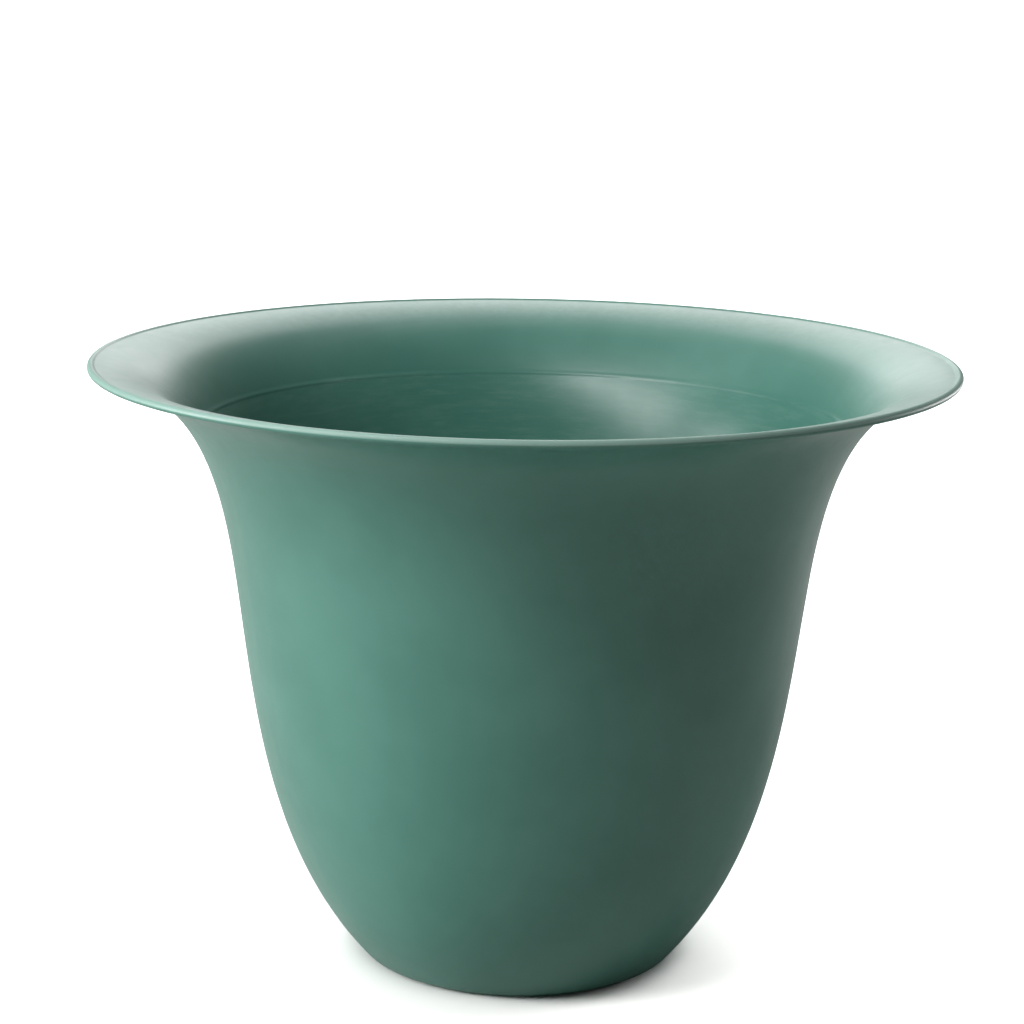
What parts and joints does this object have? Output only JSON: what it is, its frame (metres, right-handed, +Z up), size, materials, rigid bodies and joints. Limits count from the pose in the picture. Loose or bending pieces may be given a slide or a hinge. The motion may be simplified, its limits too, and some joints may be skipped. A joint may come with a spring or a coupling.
{
  "type": "florist bucket",
  "caption": "Bell-shaped moulded plastic vessel with a wide trumpet-flared rim, a thin rounded lip and a recessed base, for holding cut stems or a planting.",
  "frame": {"origin": "middle of the base, on the surface that the bucket stands on", "axes": "+Z up along the bucket's axis of revolution; +X and +Y are any two directions across it"},
  "size_m": [0.3399, 0.34, 0.2415],
  "materials": {
    "bucket_plastic": "satin moulded, deep sea green"
  },
  "bodies": {
    "root": {"bucket": "bucket_plastic"}
  },
  "joints": []
}
